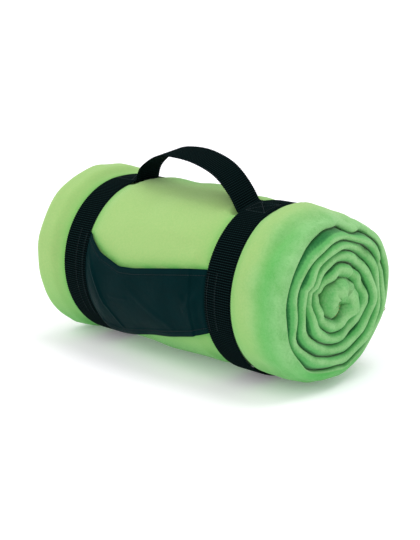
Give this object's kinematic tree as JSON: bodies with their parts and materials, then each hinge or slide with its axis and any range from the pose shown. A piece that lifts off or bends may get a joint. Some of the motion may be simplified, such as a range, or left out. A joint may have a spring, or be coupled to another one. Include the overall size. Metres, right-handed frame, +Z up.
{
  "type": "rolled blanket with carrier",
  "caption": "Fleece blanket folded and rolled, held by two webbing straps with a carry handle, a cloth front panel and hook-and-loop closures.",
  "frame": {"origin": "on the ground under the middle of the rolled blanket", "axes": "+X along the roll towards its tidy end, -Y the front with the cloth panel, +Z up"},
  "size_m": [0.3, 0.173, 0.1854],
  "materials": {
    "fleece": "brushed anti-pill fleece",
    "hem_yarn": "textured overlock yarn",
    "label_cloth": "smooth satin ribbon",
    "webbing": "woven polypropylene, cross ribbed",
    "loop_tape": "brushed loop pile",
    "hook_tape": "moulded hook rows",
    "panel_cloth": "coated nylon plain weave, slight sheen",
    "sewing_thread": "bonded thread"
  },
  "bodies": {
    "blanket": {"fleece_blanket": "fleece", "hem_overlock": "hem_yarn", "care_label": "label_cloth"},
    "carrier": {"left_strap": "webbing", "right_strap": "webbing", "left_loop_tape": "loop_tape", "right_loop_tape": "loop_tape", "left_handle_end": "webbing", "right_handle_end": "webbing", "front_panel": "panel_cloth", "left_panel_seam": "sewing_thread", "right_panel_seam": "sewing_thread", "panel_hem_stitching": "sewing_thread", "left_handle_box_stitch": "sewing_thread", "right_handle_box_stitch": "sewing_thread", "left_loop_stitching": "sewing_thread", "right_loop_stitching": "sewing_thread"},
    "handle": {"carry_handle": "webbing"},
    "left_back": {"left_back_strap": "webbing"},
    "right_back": {"right_back_strap": "webbing"},
    "left_tail": {"left_closure_tail": "webbing", "left_hook_tape": "hook_tape", "left_hook_stitching": "sewing_thread"},
    "right_tail": {"right_closure_tail": "webbing", "right_hook_tape": "hook_tape", "right_hook_stitching": "sewing_thread"}
  },
  "joints": [
    {"name": "carrier_slide", "type": "slide", "parent": "blanket", "child": "carrier", "axis": [1, 0, 0], "range_m": [0, 0.27]},
    {"name": "handle_swing", "type": "hinge", "parent": "carrier", "child": "handle", "pos_m": [-0.08043, -0.00037, 0.15801], "axis": [0.9886, -0.15, -0.0147], "range_deg": [-45, 45], "stiffness_Nm_per_rad": 0.003},
    {"name": "left_strap_open", "type": "hinge", "parent": "carrier", "child": "left_back", "pos_m": [-0.099, 0.03999, 0.14235], "axis": [1, 0, 0], "range_deg": [0, 110]},
    {"name": "right_strap_open", "type": "hinge", "parent": "carrier", "child": "right_back", "pos_m": [0.08, 0.03999, 0.14235], "axis": [1, 0, 0], "range_deg": [0, 110]},
    {"name": "left_tail_peel", "type": "hinge", "parent": "left_back", "child": "left_tail", "pos_m": [-0.099, 0.07981, 0.06901], "axis": [1, 0, 0], "range_deg": [0, 90]},
    {"name": "right_tail_peel", "type": "hinge", "parent": "right_back", "child": "right_tail", "pos_m": [0.08, 0.07981, 0.06901], "axis": [1, 0, 0], "range_deg": [0, 90]}
  ]
}
